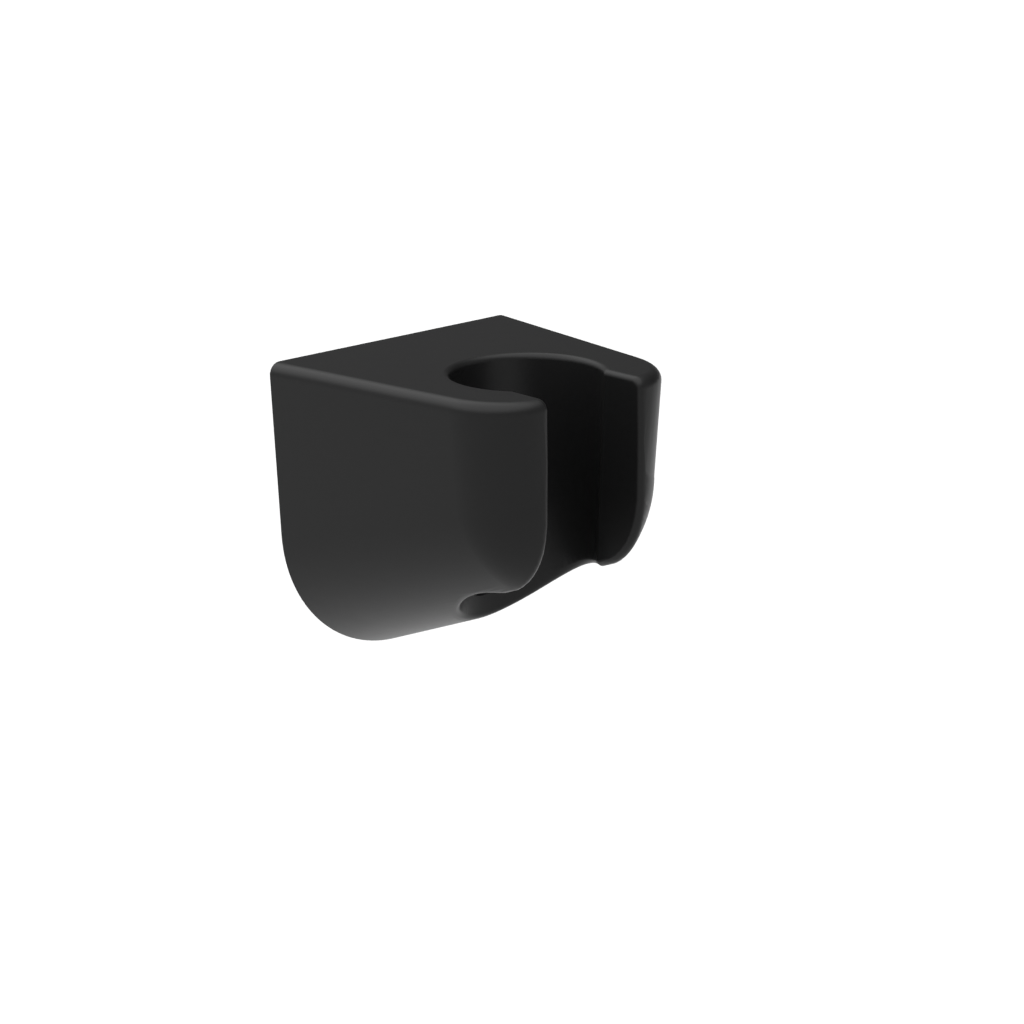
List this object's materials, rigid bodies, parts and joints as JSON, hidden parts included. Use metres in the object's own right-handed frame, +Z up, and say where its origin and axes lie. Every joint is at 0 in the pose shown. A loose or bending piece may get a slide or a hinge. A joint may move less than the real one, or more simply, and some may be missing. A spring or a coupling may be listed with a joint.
{
  "type": "hand shower holder",
  "caption": "Wall holder for a hand shower: flat-topped block with drafted sides, half-round rising underside, tapered open cradle with front slot and a hollow ribbed back.",
  "frame": {"origin": "on the wall plane, midway between the axes of the two fixing screws", "axes": "+Y into the wall, the body stands out towards -Y; +Z up, along the cradle; +X to the right seen from the room"},
  "size_m": [0.0496, 0.0469, 0.0498],
  "materials": {
    "holder": "matt black, moulded in one colour"
  },
  "bodies": {
    "root": {"holder": "holder"}
  },
  "joints": []
}
